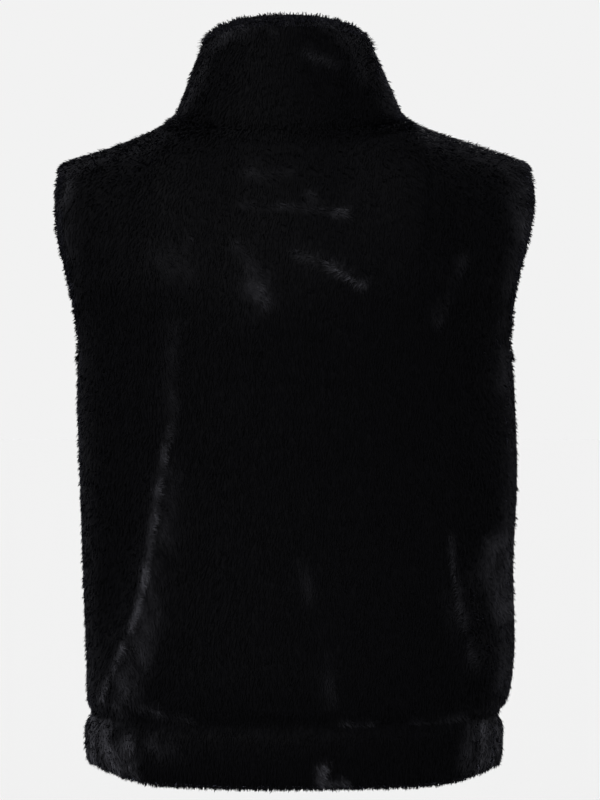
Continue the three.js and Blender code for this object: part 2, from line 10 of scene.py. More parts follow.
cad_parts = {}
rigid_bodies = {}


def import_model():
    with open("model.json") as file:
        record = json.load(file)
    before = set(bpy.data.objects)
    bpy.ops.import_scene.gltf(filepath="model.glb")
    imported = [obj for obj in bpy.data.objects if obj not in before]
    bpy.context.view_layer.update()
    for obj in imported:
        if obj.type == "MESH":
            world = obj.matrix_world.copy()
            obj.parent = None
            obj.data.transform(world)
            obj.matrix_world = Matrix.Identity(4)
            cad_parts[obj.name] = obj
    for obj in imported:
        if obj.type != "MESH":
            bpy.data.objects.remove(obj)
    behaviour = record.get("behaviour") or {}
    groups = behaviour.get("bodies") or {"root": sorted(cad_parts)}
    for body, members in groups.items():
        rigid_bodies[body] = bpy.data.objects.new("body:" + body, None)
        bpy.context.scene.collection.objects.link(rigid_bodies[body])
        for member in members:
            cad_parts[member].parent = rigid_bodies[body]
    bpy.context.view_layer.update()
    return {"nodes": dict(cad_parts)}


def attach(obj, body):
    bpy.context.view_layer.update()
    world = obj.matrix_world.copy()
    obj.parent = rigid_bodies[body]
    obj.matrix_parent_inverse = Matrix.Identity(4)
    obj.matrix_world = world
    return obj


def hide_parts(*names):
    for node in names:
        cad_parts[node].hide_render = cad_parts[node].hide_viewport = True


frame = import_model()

# A black faux fur vest seen from behind. Lengths are in millimetres until a mesh is made.
# s runs from 0 at the middle of the back or front to 1 at the side seam. r runs from -1 at the hem to 0
# at the hem seam, 1 at the underarm and 2 at the shoulder and neck seams.

cut = {
    "hem": -622, "hemSeam": -562, "underarm": -228,
    "shoulderDrop": 41, "cornerDrop": 4, "zipHalfGap": 6.5,
    "neckAt": 0.46,  # the s at which the shoulder seam meets the collar
    "wall": 11, "edgeRadius": 7, "edgeWall": 0.42,
    "boxiness": 0.8,
    "halfWidth": 208, "depth": 125,  # of the ellipse that tells which way is out of the body
    "hemMiddle": -2.2, "hemLeft": 9.5, "hemRight": 7,  # how far the hem is lifted, middle and side seams
}
shoulderTip = -(cut["shoulderDrop"] + cut["cornerDrop"])
neckAt, hem, hemSeam, wall = cut["neckAt"], cut["hem"], cut["hemSeam"], cut["wall"]
neck = {"halfWidth": 110, "back": 78, "front": 95, "backDrop": 18, "frontDrop": 75, "lean": 5.5}
collarTop = {"halfWidth": 77, "back": 64, "front": 72, "backZ": 91.5, "sideZ": 72, "frontZ": 36, "lean": 8}
collarTopCurve = {"back": 0.3, "front": 0.5}
slant = {"left": -2.5, "right": 0.5}
armhole = {"back": 60, "front": 57, "roundShare": 0.34, "edgeTurn": 66}
yokeFan = {"out": 14, "width": 0.12}
gather = {"height": 2.6, "wave": 25, "reach": 74, "backReach": 30}

outline = {  # half widths and depths over the pile, from the hem up
    "z": [
        -622, -612, -592, -576, -562, -551, -530, -496, -420, -344, -268, -228, -190, -154, -116, -78,
        -59, -45,
    ],
    "left": [
        190, 195.5, 197.5, 197, 193.5, 197, 198, 199, 202, 204.5, 207, 206.5, 208, 214.5, 224, 231, 231.5,
        226,
    ],
    "right": [
        189, 194, 195.5, 195.5, 193, 201, 206, 208.5, 207.5, 211, 209, 206, 205.5, 210.5, 220.5, 231, 231,
        225,
    ],
    "back": [118, 124, 127, 126, 122.5, 127, 129, 127, 122, 119, 123, 127, 130, 130, 128, 124, 122, 120],
    "front": [122, 128, 130, 129.5, 127.5, 130, 132, 131, 128, 127, 131, 133, 133, 130, 126, 120, 118, 116],
}
folds = [  # soft folds: face, height, width, and x and z along the crest
    ("back", 7, 20, [(111, -214), (124, -340), (146, -462), (178, -538)]),
    ("back", -5, 17, [(140, -330), (152, -400), (166, -452), (188, -520)]),
    ("back", 4.5, 18, [(-140, -385), (-148, -430), (-162, -480), (-182, -540)]),
    ("back", -3, 16, [(-164, -400), (-176, -450), (-194, -510)]),
    ("back", 2.5, 15, [(52, -126), (24, -182)]),
    ("back", 2.5, 14, [(-4, -130), (-66, -164)]),
    ("front", 5, 19, [(98, -250), (112, -340), (138, -440), (170, -536)]),
    ("front", -3.5, 16, [(134, -360), (158, -440), (184, -516)]),
    ("front", 5, 19, [(-94, -262), (-110, -360), (-140, -452), (-174, -538)]),
    ("front", -3.5, 16, [(-136, -370), (-160, -450), (-188, -520)]),
]


def mix(a, b, share):
    return a + (b - a) * share


def smooth(value):
    value = np.clip(value, 0, 1)
    return value * value * (3 - 2 * value)


def unit(v):
    return v / np.maximum(np.linalg.norm(v, axis=-1, keepdims=True), 1e-9)


def outward(point):  # level, away from the body's middle
    return unit(np.stack([point[..., 0] / cut["halfWidth"] ** 2, point[..., 1] / cut["depth"] ** 2], -1))


def outlineAt(column, z):
    zs, values = np.array(outline["z"], float), np.array(outline[column], float)
    before, after = np.maximum(np.arange(len(zs)) - 1, 0), np.minimum(np.arange(len(zs)) + 1, len(zs) - 1)
    slope = (values[after] - values[before]) / (zs[after] - zs[before])
    i = np.clip(np.searchsorted(zs, z) - 1, 0, len(zs) - 2)
    step = zs[i + 1] - zs[i]
    t = np.clip((z - zs[i]) / step, 0, 1)
    bend = step * (slope[i] * t * (1 - t) ** 2 - slope[i + 1] * t * t * (1 - t))
    return mix(values[i], values[i + 1], t * t * (3 - 2 * t)) + bend


def halfWidthAt(side, z):
    return np.where(side > 0, outlineAt("left", z), outlineAt("right", z))


def neckRing(share, side, face, ring, z):
    start = 0 if face == "back" else cut["zipHalfGap"]
    across = start + (ring["halfWidth"] - start) * share
    lean = ring["lean"] * (1 if face == "back" else share**2)
    depth = np.sqrt(np.clip(1 - share**2, 0, 1)) * (ring["back"] if face == "back" else -ring["front"])
    return np.stack(np.broadcast_arrays(across * side + lean, depth, z), -1).astype(float)


def topEdge(s, side, face):
    share = np.clip(s / neckAt, 0, 1)
    round_ = neckRing(share, side, face, neck, -neck[face + "Drop"] * np.clip(1 - share**2, 0, 1) ** 0.75)
    along = np.clip((s - neckAt) / (1 - neckAt), 0, 1)
    tip = halfWidthAt(side, shoulderTip) * side
    lift = np.where(side > 0, slant["left"], slant["right"]) * np.sin(np.pi * along)
    z = lift - cut["shoulderDrop"] * along**0.8 - cut["cornerDrop"] * along**10
    x = mix(neck["halfWidth"] * side + neck["lean"], tip, along)
    shoulder = np.stack(np.broadcast_arrays(x, 0.0, z), -1)
    return np.where((s < neckAt)[..., None], round_, shoulder)


def foldRise(x, z, face):
    rise = 0
    for onFace, height, width, crest in folds:
        if onFace != face:
            continue
        away, along = besideLine(x, z, crest)
        rise = rise + height * (0.35 + 0.65 * np.sin(np.pi * along**1.3)) * np.exp(-((away / width) ** 2))
    return rise


def besideLine(x, z, line):
    best, along = np.full(x.shape, 1e9), np.zeros(x.shape)
    for i, ((ax, az), (bx, bz)) in enumerate(zip(line, line[1:])):
        t = np.clip(((x - ax) * (bx - ax) + (z - az) * (bz - az)) / ((bx - ax) ** 2 + (bz - az) ** 2), 0, 1)
        away = np.hypot(x - mix(ax, bx, t), z - mix(az, bz, t))
        along = np.where(away < best, (i + t) / (len(line) - 1), along)
        best = np.minimum(best, away)
    return best, along


def bodyPoint(s, r, side, face):
    f = np.clip(r - 1, 0, 1)
    top, tipZ = cut["underarm"], shoulderTip
    lowZ = np.where(r < 0, mix(hemSeam, hem, -r), mix(hemSeam, top, np.clip(r, 0, 1)))
    edgeZ = np.where(r > 1, mix(top, tipZ, f), lowZ)
    halfWidth = halfWidthAt(side, edgeZ)
    depth = outlineAt(face, np.minimum(edgeZ, mix(top, tipZ, 0.5)))
    turn = np.radians(mix(90, armhole["edgeTurn"], smooth(f / 0.5)))
    start = cut["zipHalfGap"] * np.maximum(0, 1 - s / neckAt) if face == "front" else 0
    straight = np.sin(s * turn) / np.sin(turn) * halfWidth + start
    ring = depth * np.maximum(0, np.cos(np.radians(s * 90))) ** cut["boxiness"]
    edge = topEdge(s, side, face)
    widest = math.radians(armhole["edgeTurn"])
    arc = (np.cos(s * widest) - math.cos(widest)) / (1 - math.cos(widest))
    yoke = armhole[face] + (depth - armhole[face]) * arc
    rise = np.clip(f / armhole["roundShare"], 0, 1)
    opened = mix(smooth(rise), np.sqrt(1 - (1 - rise) ** 2), s**10)
    body = mix(ring, yoke, opened)
    fall = mix(1 - f**2.2, np.sqrt(1 - f**3), smooth((s / neckAt - 0.3) / 0.7))
    y = mix(np.abs(edge[..., 1]), body, fall)
    fan = yokeFan["out"] * np.exp(-(((s - neckAt) / yokeFan["width"]) ** 2)) * np.sin(np.pi * f**3)
    x = mix(straight * side, edge[..., 0], f**2.5) + fan * side
    down = np.clip((hemSeam - edgeZ) / (hemSeam - hem), 0, 1)
    sideLift = np.where(side > 0, cut["hemLeft"], cut["hemRight"])
    lift = mix(cut["hemMiddle"], sideLift, smooth((s - 0.45) / 0.45)) * down**2
    z = np.where(r > 1, mix(top, edge[..., 2], f), edgeZ + lift)
    way = 1 if face == "back" else -1
    point = np.stack(np.broadcast_arrays(x, y * way, z), -1)
    fade = smooth((y - 4) / 40) * smooth((z - hemSeam) / 30)
    point[..., :2] += outward(point) * (foldRise(point[..., 0], z, face) * fade)[..., None]
    return point


def collarPoint(s, c, side, face):
    share = s / neckAt
    middleZ = collarTop[face + "Z"]
    z = mix(collarTop["sideZ"], middleZ, np.clip(1 - share**2, 0, 1) ** collarTopCurve[face])
    seam = topEdge(np.minimum(s, neckAt - 1e-9), side, face)
    point = mix(seam, neckRing(share, side, face, collarTop, z), c[..., None])
    bulge = np.sin(np.pi * c**1.6)[..., None]
    point[..., :2] += unit(np.stack([point[..., 0] * share, point[..., 1]], -1)) * bulge
    return point


def gatherHeight(round_, down, face):
    reach = gather["reach"] + (gather["backReach"] if face == "back" else 0)
    tall = hemSeam - hem
    fade = smooth(1.15 - round_ / reach) * smooth(down / 6) * smooth((1 - down / tall) * 3)
    wander = np.sin(round_ / 17 + (0.6 if face == "back" else 2.1)) * 0.9
    return gather["height"] * fade * (0.55 + 0.45 * np.sin(2 * np.pi * round_ / gather["wave"] + wander))


def lengthAlong(points, axis):
    steps = np.linalg.norm(np.diff(points, axis=axis), axis=-1)
    start = [(1, 0), (0, 0)] if axis == 0 else [(0, 0), (1, 0)]
    return np.cumsum(np.pad(steps, start), axis=axis)


def gridOf(points):
    up, across = np.gradient(points, axis=0), np.gradient(points, axis=1)
    return {
        "point": points, "normal": unit(np.cross(across, up)), "across": unit(across), "up": unit(up),
        "a": lengthAlong(points, 1), "b": lengthAlong(points, 0),
    }


def pulledIn(points, start, end):  # each row of points shortened by these lengths at its two ends
    along = lengthAlong(points, 1)
    for i, row in enumerate(points):
        whole = along[i, -1]
        at = start[i] + along[i] * (whole - start[i] - end[i]) / whole
        points[i] = np.stack([np.interp(at, along[i], row[:, k]) for k in range(3)], 1)
    return points


def pulledUp(points, start, end):
    flat = np.ones(points.shape[1])
    return pulledIn(points.swapaxes(0, 1).copy(), flat * start, flat * end).swapaxes(0, 1).copy()


# Panels as fine grids. Columns run from the wearer's left round the back, and the other way at the
# front, so that every grid's normal points out.
rimRadius = wall * cut["edgeWall"] / 2


def bodyPoints(rows, columns, side, face):
    s, r = np.meshgrid(columns, rows)
    return bodyPoint(s, r, np.broadcast_to(side, s.shape), face)


def backPoints(rows, count):
    half = np.linspace(0, 1, count)
    side = np.repeat([1.0, -1.0], [count, count - 1])
    return bodyPoints(rows, np.concatenate([half[::-1], half[1:]]), side, "back")


def frontPoints(rows, count, side):
    return bodyPoints(rows, np.linspace(0, 1, count)[::side], float(side), "front")


def roundNeck(count, reach):  # side, face and s of the four quarters round the neck
    quarter = np.sin(np.linspace(0, np.pi / 2, count)) * reach
    return (
        (1.0, "front", quarter), (1.0, "back", quarter[::-1][1:]),
        (-1.0, "back", quarter[1:]), (-1.0, "front", quarter[::-1][1:]),
    )


def collarPoints(rows, count):
    heights = np.linspace(0, 1, rows)[:, None]
    made = []
    for side, face, s in roundNeck(count, neckAt):
        s, height = np.broadcast_arrays(s[None, :], heights)
        made.append(collarPoint(s, height, np.full(s.shape, side), face))
    return np.concatenate(made, 1)


sewnEdges = {  # the side seams and the hem seam
    "back": ["bottom", "first", "last"], "front_left": ["bottom", "last"], "front_right": ["bottom", "first"],
    "collar": [], "hem_band_back": ["top", "first", "last"],
    "hem_band_left": ["top", "last"], "hem_band_right": ["top", "first"],
}


def levelled(grid, field, name):  # turned so that neighbours face the same way where they are sewn together
    field = field.copy()
    a, b, below = grid["a"], grid["b"], grid["point"][..., 2] < cut["underarm"]
    away = {"first": a, "last": a[:, -1:] - a, "bottom": b, "top": b[-1:] - b}
    for end in sewnEdges[name]:
        sideways = end in ("first", "last")
        share = smooth(1.2 - away[end] / 8) * (below if sideways else 1)
        field[..., 1 if sideways else 2] *= 1 - share
    return unit(field)


def raised(name, points, face, seamAt):  # the gathers of the hem band
    grid = gridOf(points)
    out = levelled(grid, grid["normal"], name)
    toEnd = grid["a"][:, -1:] - grid["a"]
    round_ = {"start": grid["a"], "end": toEnd, "both": np.minimum(grid["a"], toEnd)}[seamAt]
    lift = gatherHeight(round_, hemSeam - points[..., 2], face)
    return points + out * lift[..., None]


lower = np.linspace(0, 1, 150, endpoint=False)
rows = np.concatenate([lower, 2 - (1 - np.linspace(0, 1, 100)) ** 1.7])
armPull = rimRadius * smooth((rows - 1) / 0.02)
zipPull = np.full(len(rows), rimRadius)
bandRows = np.linspace(-1, 0, 34)
bandZip, bandSeam = np.full(len(bandRows), rimRadius), np.zeros(len(bandRows))
collarRows = 54
collarZip = np.full(collarRows, rimRadius)
panels = {
    "back": pulledIn(backPoints(rows, 110), armPull, armPull),
    "front_left": pulledIn(frontPoints(rows, 110, 1), zipPull, armPull),
    "front_right": pulledIn(frontPoints(rows, 110, -1), armPull, zipPull),
    "collar": pulledUp(pulledIn(collarPoints(collarRows, 60), collarZip, collarZip), 0, rimRadius),
    "hem_band_back": pulledUp(backPoints(bandRows, 130), rimRadius, 0),
    "hem_band_left": pulledUp(pulledIn(frontPoints(bandRows, 130, 1), bandZip, bandSeam), rimRadius, 0),
    "hem_band_right": pulledUp(pulledIn(frontPoints(bandRows, 130, -1), bandSeam, bandZip), rimRadius, 0),
}
for name, face, seamAt in (
    ("hem_band_back", "back", "both"),
    ("hem_band_left", "front", "end"), ("hem_band_right", "front", "start"),
):
    panels[name] = raised(name, panels[name], face, seamAt)
underarmRow = len(lower)
freeEdges = {  # of each panel: which end, its first free row, and how far the fur turns under
    "back": [("first", underarmRow, 8), ("last", underarmRow, 8)],
    "front_left": [("first", 0, 0), ("last", underarmRow, 8)],
    "front_right": [("first", underarmRow, 8), ("last", 0, 0)],
    "collar": [("top", 0, 16), ("first", 0, 0), ("last", 0, 0)],
    "hem_band_back": [("bottom", 0, 10)],
    "hem_band_left": [("bottom", 0, 10), ("first", 0, 0)],
    "hem_band_right": [("bottom", 0, 10), ("last", 0, 0)],
}
noSeam = 99  # a distance from which a seam no longer matters


def wayOut(grid, end):  # roughly the way out of a panel at one of its edges
    return {"first": -grid["across"], "last": grid["across"], "top": grid["up"], "bottom": -grid["up"]}[end]


def edgeOf(grid, end, fromRow):  # points, normals and the way out of the panel along one of its edges
    field = {
        "first": (slice(fromRow, None), 0), "last": (slice(fromRow, None), -1),
        "top": (-1, slice(None)), "bottom": (0, slice(None)),
    }[end]
    edge, facing = grid["point"][field], grid["normal"][field]
    out = unit(np.cross(np.gradient(edge, axis=0), facing))
    return edge, facing, out * np.sign((out * wayOut(grid, end)[field]).sum())


def rollOff(away):  # the share of the wall left beside a free edge
    return mix(cut["edgeWall"], 1, np.sqrt(1 - (1 - np.minimum(away / cut["edgeRadius"], 1)) ** 2))


grids = {}
for name, points in panels.items():
    grid = grids[name] = gridOf(points)
    grid["normal"] = levelled(grid, grid["normal"], name)
    edge = np.concatenate([edgeOf(grid, end, fromRow)[0] for end, fromRow, _ in freeEdges[name]])
    tree = KDTree(len(edge))
    for i, p in enumerate(edge):
        tree.insert(p, i)
    tree.balance()
    away = np.array([tree.find(p)[2] for p in points.reshape(-1, 3)]).reshape(points.shape[:2])
    grid["left"], grid["away"] = rollOff(away), away
    grid["pile"] = points - grid["normal"] * (wall * (1 - grid["left"]) / 2)[..., None]
    grid["facing"] = levelled(grid, gridOf(grid["pile"])["normal"], name)
    grid["seam"] = grid["b"] if name == "collar" else grid["b"][-1:] - grid["b"]  # to a seam hidden by fur
    if name.startswith("hem"):
        grid["seam"] = grid["b"] + noSeam
print("surfaces ready")


# Fur. Every strand is a tapered ribbon rooted in the undercoat, and strands lean together in locks.
furStyle = {
    "skinDepth": 2.9, "rootDepth": 5.0, "length": 8.0, "lengthSpread": 0.12,
    "rootWidth": 1.2, "middleWidth": 0.85,
    "lock": 3.4, "lockPull": 0.38, "bigLock": 12, "bigPull": 0.06, "lockTurn": 0.4,
    "tuft": 3.0, "tuftShare": 0.17, "tuftPull": 0.85,  # locks that stand up over the rest and end in a point
    "rimTuft": 3.6, "rimTuftShare": 0.5, "tuftShorter": 0.5, "rimTuftShorter": 0.75,
    "pastSeam": 3.5, "pastHem": 3.0, "napOut": 0.45, "bigTurn": 0.3, "driftTurn": 0.16, "stray": 0.3,
    "bend": (0.74, 0.4, 0.35),  # the middle's share of a strand's height, run and pull
    "spin": 0.95, "palest": 1.3, "fringeOut": 0.9, "fringePerLength": 5, "bridgeStrands": 5500,
    "seamReach": 9, "seamLevel": 0.6,  # beside the neck and shoulder seams strands are shaded level
    "roundness": 0.86,  # how far a strand is shaded like the surface that it lies on
}
# Where the nap is stroked another way and a highlight is painted on: width, turn in degrees, and x, z and
# paleness along the stroke
# The turn is real; the paleness is painted highlight, lighter colour standing in for the sheen that the
# turned nap catches
brushed = {}
brushed["back"] = [
    (3, 70, [
        (49, -87, 0.1), (30, -90, 0.15), (11, -88, 0.7), (-5, -91, 0.2), (-27, -93, 0.25),
        (-42, -95, 0.9), (-50, -99, 0.1),
    ]),
    (5, 40, [(42, -57, 0.13), (24, -61, 0.05), (4, -55, 0.13)]),
    (4, 30, [(-12, -78, 0.2), (-17, -80, 0.2)]),
    (5, 55, [(53, -124, 0.14), (42, -138, 0.17), (29, -156, 0.1)]),
    (7, 30, [(41, -163, 0.14), (35, -168, 0.32), (30, -176, 0.18)]),
    (15, 30, [(39, -160, 0.1), (31, -178, 0.07)]),
    (3, -60, [
        (-2, -133, 0.3), (-21, -140, 0.42), (-39, -149, 0.63), (-52, -156, 0.8), (-62, -162, 0.9),
    ]),
    (9, -50, [(-7, -135, 0.1), (-34, -148, 0.1)]),
    (4, 40, [(97, -120, 0.35), (100, -129, 0.18)]),
    (16, 40, [(115, -137, 0.1), (106, -148, 0.08)]),
    (5, 30, [(-155, -138, 0.12), (-143, -163, 0.06), (-130, -195, 0.17)]),
    (8, 40, [  # the long ridge, crisp on its left
        (111, -200, 0.05), (113, -254, 0.09), (115, -295, 0.12),
    ]),
    (2.6, 60, [
        (115, -291, 0.25), (123, -327, 0.5), (129, -364, 0.75), (139, -428, 1.1), (147, -460, 1.3),
        (161, -493, 1.3), (182, -543, 1.1),
    ]),
    (13, 30, [
        (119, -332, 0.1), (120, -377, 0.13), (136, -469, 0.26), (151, -511, 0.32), (164, -544, 0.36),
    ]),
    (3, -45, [
        (-144, -391, 0.2), (-147, -425, 0.32), (-154, -456, 0.22), (-164, -493, 0.26),
        (-170, -514, 0.1),
    ]),
    (11, -30, [(-146, -442, 0.09), (-168, -507, 0.09)]),
    (13, 30, [(-190, -402, 0.5), (-184, -430, 0.5), (-194, -458, 0.42)]),
    (6, 30, [(-195, -222, 0.22), (-192, -254, 0.22)]),
    (10, 20, [  # beside the armholes
        (215, -49, 0.42), (219, -82, 0.38), (213, -128, 0.18), (205, -194, 0.12),
    ]),
    (12, 20, [(-211, -56, 0.52), (-217, -91, 0.48), (-209, -138, 0.26), (-202, -203, 0.14)]),
    (7, 20, [(199, -44, 0.15), (160, -35, 0.12), (123, -22, 0.09)]),  # along the shoulders
    (7, 20, [(-194, -44, 0.18), (-160, -36, 0.12), (-123, -23, 0.09)]),
    (8, 20, [  # down the sides
        (201, -287, 0.09), (197, -380, 0.12), (193, -492, 0.12), (189, -548, 0.21),
    ]),
    (8, 20, [(-203, -315, 0.09), (-201, -418, 0.2), (-194, -528, 0.28)]),
    (6, 15, [(-7, -413, 0.09), (-13, -444, 0.1)]),
    (6, 15, [(-28, -498, 0.08), (-33, -539, 0.1)]),
    (4, 50, [(-43, -559, 0.3), (-55, -564, 0.36), (-68, -561, 0.25)]),  # over the hem seam
    (4, 50, [(-107, -563, 0.2), (-133, -561, 0.25), (-157, -558, 0.3)]),
    (4, 50, [(141, -548, 0.35), (118, -554, 0.25), (95, -558, 0.12)]),
]
brushed["front"] = [
    (9, 25, [(100, -280, 0.05), (114, -350, 0.11), (136, -430, 0.08), (164, -520, 0.12)]),
    (10, -20, [(-98, -310, 0.05), (-118, -380, 0.1), (-140, -446, 0.06)]),
    (10, -20, [(-160, -484, 0.1), (-178, -540, 0.08)]),
    (10, 25, [(38, -330, 0.05), (30, -372, 0.08), (34, -420, 0.05)]),
    (10, 20, [(205, -60, 0.15), (205, -110, 0.15), (200, -190, 0.09)]),
    (10, 20, [(-205, -60, 0.15), (-205, -110, 0.15), (-200, -190, 0.09)]),
    (9, -25, [(62, -118, 0.07), (40, -150, 0.1)]),
    (9, 20, [(-60, -178, 0.06), (-40, -192, 0.08)]),
]
brushed["band"] = [
    (6, 30, [(192, -570, 1.2), (193, -591, 1.3), (186, -605, 1.2)]),  # between the gathers
    (7, 40, [(174, -571, 0.9), (172, -591, 1.1), (169, -606, 0.85)]),
    (6, 30, [(154, -582, 0.8), (152, -598, 0.9), (150, -610, 0.7)]),
    (18, 20, [(184, -572, 0.4), (176, -606, 0.38)]),
    (6, -40, [(-191, -570, 1.3), (-190, -590, 1.3), (-184, -606, 1.2)]),
    (4, -30, [(-178, -567, 1.3), (-177, -587, 1.1), (-173, -608, 1.1)]),
    (9, -30, [(-167, -570, 0.4), (-160, -604, 0.3)]),
    (4, 60, [(-25, -600, 1.0), (-23, -615, 1.3), (-32, -615, 1.3), (-45, -615, 0.8)]),
    (10, 40, [(134, -580, 0.22), (109, -583, 0.12)]),
]
brushed["collar"] = [
    (3.5, 50, [(20, 88, 0.5), (20, 76, 0.8)]),
    (5, -50, [(-12, 57, 0.12), (-20, 52, 0.26), (-33, 50, 0.2), (-40, 45, 0.1)]),
    (12, -30, [(-40, 82, 0.18), (-63, 67, 0.21), (-72, 40, 0.18)]),
    (6, 20, [(62, 80, 0.5), (30, 88, 0.45), (-20, 89, 0.55), (-60, 82, 0.55)]),
    (8, 30, [(76, 69, 0.3), (64, 77, 0.3), (49, 79, 0.15)]),
    (8, 20, [(88, 51, 0.28), (97, 27, 0.24), (108, 10, 0.18)]),
    (8, 20, [(-83, 32, 0.15), (-91, 10, 0.15)]),
]


def wander(p, size, seed, count=6):  # a smooth random value over space, about -1 to 1
    rng = np.random.default_rng(seed)
    ways = unit(rng.normal(size=(count, 3))) * (2 * np.pi / size * rng.uniform(0.6, 1.5, (count, 1)))
    return np.sin(p @ ways.T + rng.uniform(0, 2 * np.pi, count)).sum(-1) / math.sqrt(count)


def scattered(a, b, seed):
    value = np.sin(a * 127.1 + b * 311.7 + seed * 74.7) * 43758.5453
    return value - np.floor(value)


def lockAt(a, b, size, seed):  # the way to the middle of the nearest lock, and the lock's own random value
    cellA, cellB = np.floor(a / size), np.floor(b / size)
    best = np.full(a.shape, 1e9)
    toA, toB, own = np.zeros(a.shape), np.zeros(a.shape), np.zeros(a.shape)
    for stepA in (-1, 0, 1):
        for stepB in (-1, 0, 1):
            i, j = cellA + stepA, cellB + stepB
            moveA = (i + 0.5 + 0.85 * (scattered(i, j, seed) - 0.5)) * size - a
            moveB = (j + 0.5 + 0.85 * (scattered(i, j, seed + 1) - 0.5)) * size - b
            far = np.hypot(moveA, moveB)
            closer = far < best
            best = np.where(closer, far, best)
            toA, toB = np.where(closer, moveA, toA), np.where(closer, moveB, toB)
            own = np.where(closer, scattered(i, j, seed + 2), own)
    return toA, toB, own


def strokeAt(p, facing, kind):  # how far the nap is turned at each point, and how pale the painted highlight is there
    turn, pale = np.zeros(len(p)), np.zeros(len(p))
    patchy = np.clip(0.8 + 0.45 * wander(p, 22, 71) + 0.3 * wander(p, 7, 72), 0.1, 1.5)
    for where in ("back", "front") if kind == "body" else (kind,):
        towards = smooth(4 * (-facing[:, 1] if where == "front" else facing[:, 1]))
        for width, degrees, stroke in brushed[where]:
            away, along = besideLine(p[:, 0], p[:, 2], [point[:2] for point in stroke])
            weight = np.exp(-((away / width) ** 2)) * towards
            turn += math.radians(degrees) * weight
            levels = [point[2] for point in stroke]
            pale += np.interp(along * (len(stroke) - 1), np.arange(len(stroke)), levels) * weight * patchy
    return turn, np.minimum(pale, furStyle["palest"])


def napAt(p, facing):  # down, and away from the body's middle
    down = np.concatenate([furStyle["napOut"] * outward(p), np.full((len(p), 1), -1.0)], 1)
    return unit(down - facing * (down * facing).sum(-1, keepdims=True))


def strandsOn(grid, count, seed, kind, rim=False, past=None):
    rng = np.random.default_rng(seed)
    surface = grid["pile"]
    falling, rising = surface[1:, 1:] - surface[:-1, :-1], surface[1:, :-1] - surface[:-1, 1:]
    area = np.linalg.norm(np.cross(falling, rising), axis=-1)
    reach = np.cumsum(area.ravel())
    cell = np.searchsorted(reach, (np.arange(count) + rng.random(count)) * (reach[-1] / count))
    i, j = np.divmod(np.minimum(cell, area.size - 1), area.shape[1])
    u, v = rng.random((2, count))

    def at(field):
        f = grid[field]
        weights = [(1 - v) * (1 - u), (1 - v) * u, v * (1 - u), v * u]
        corners = [f[i, j], f[i, j + 1], f[i + 1, j], f[i + 1, j + 1]]
        return sum(c * (w[:, None] if c.ndim > 1 else w) for c, w in zip(corners, weights))

    p, facing, left = at("pile"), unit(at("facing")), at("left")
    across, up = unit(at("across")), unit(at("up"))
    a, b = at("a"), at("b")
    overSeam = smooth(1 - at("seam") / furStyle["seamReach"])
    # pale is the painted highlight along the strokes, carried to the shader as an attribute
    turn, pale = strokeAt(p, facing, kind)
    smallA, smallB, own = lockAt(a + 3 * wander(p, 40, 5), b, furStyle["lock"], seed)
    bigA, bigB, bigOwn = lockAt(a, b, furStyle["bigLock"], seed + 9)
    turn += furStyle["lockTurn"] * (own - 0.5) + furStyle["bigTurn"] * (bigOwn - 0.5)
    turn += furStyle["driftTurn"] * wander(p, 90, 3)
    nap = napAt(p, facing)
    nap = nap * np.cos(turn)[:, None] + np.cross(facing, nap) * np.sin(turn)[:, None]
    size = left * (1 + furStyle["lengthSpread"] * rng.normal(size=count).clip(-2, 2))
    height = furStyle["rootDepth"] * left * rng.uniform(0.84, 1.0, count) * (1 - 0.08 * bigOwn)
    run = np.sqrt(np.maximum((furStyle["length"] * size) ** 2 - height**2, 1))
    tuft = "rimTuft" if rim else "tuft"
    rise, share, shorter = (furStyle[tuft + end] for end in ("", "Share", "Shorter"))
    stands = np.clip((own - 1 + share) / share, 0, 1) ** 0.5  # the locks that stand up
    height = height + rise * stands * rng.uniform(0.45, 1, count)
    run *= 1 - shorter * stands
    if past is not None:  # strands end this far past the hem or the hem seam
        room = (b + past + rng.uniform(-1, 1, count)).clip(0.4)
        run = np.minimum(run, room / np.maximum(-nap[:, 2], 0.2))
    lockPull = mix(furStyle["lockPull"], furStyle["tuftPull"], stands)
    pull = across * (smallA * lockPull + bigA * furStyle["bigPull"])[:, None]
    pull = pull + up * (smallB * lockPull + bigB * furStyle["bigPull"])[:, None]
    pull = pull + rng.normal(size=(count, 3)) * furStyle["stray"]
    root = p - facing * (furStyle["rootDepth"] * left)[:, None]
    tall, far, drawn = furStyle["bend"]
    middle = root + facing * (height * tall)[:, None] + nap * (run * far)[:, None] + pull * drawn
    tip = root + facing * height[:, None] + nap * run[:, None] + pull
    axis = unit(tip - root)
    flat = unit(np.cross(axis, facing))
    spin = rng.uniform(-furStyle["spin"], furStyle["spin"], count)[:, None]
    wide = flat * np.cos(spin) + np.cross(axis, flat) * np.sin(spin)
    size = rng.uniform(0.75, 1.2, count)[:, None] * (1 if rim else 0.55 + 0.45 * left[:, None]) / 2
    low, high = wide * size * furStyle["rootWidth"], wide * size * furStyle["middleWidth"]
    points = np.stack([root - low, root + low, middle + high, middle - high, tip], 1)
    under = mix(facing, unit(p * [1.0, 1.6, 0.0]), furStyle["seamLevel"] * overSeam[:, None])
    shade = unit(mix(np.cross(wide, axis), under, furStyle["roundness"]) + 0.1 * nap)
    normals = np.repeat(shade[:, None], 5, 1)
    normals[:, 4] = unit(shade + 0.25 * axis)
    first = np.arange(count)[:, None] * 5
    return {
        "points": points.reshape(-1, 3), "normals": unit(normals.reshape(-1, 3)),
        "quads": first + [0, 1, 2, 3], "triangles": first + [3, 2, 4],
        "tip": np.tile([0, 0, 0.6, 0.6, 1.0], count), "pale": np.repeat(pale, 5), "uv": strandMap(count),
        "own": np.repeat(scattered(own, bigOwn, 4), 5),
    }


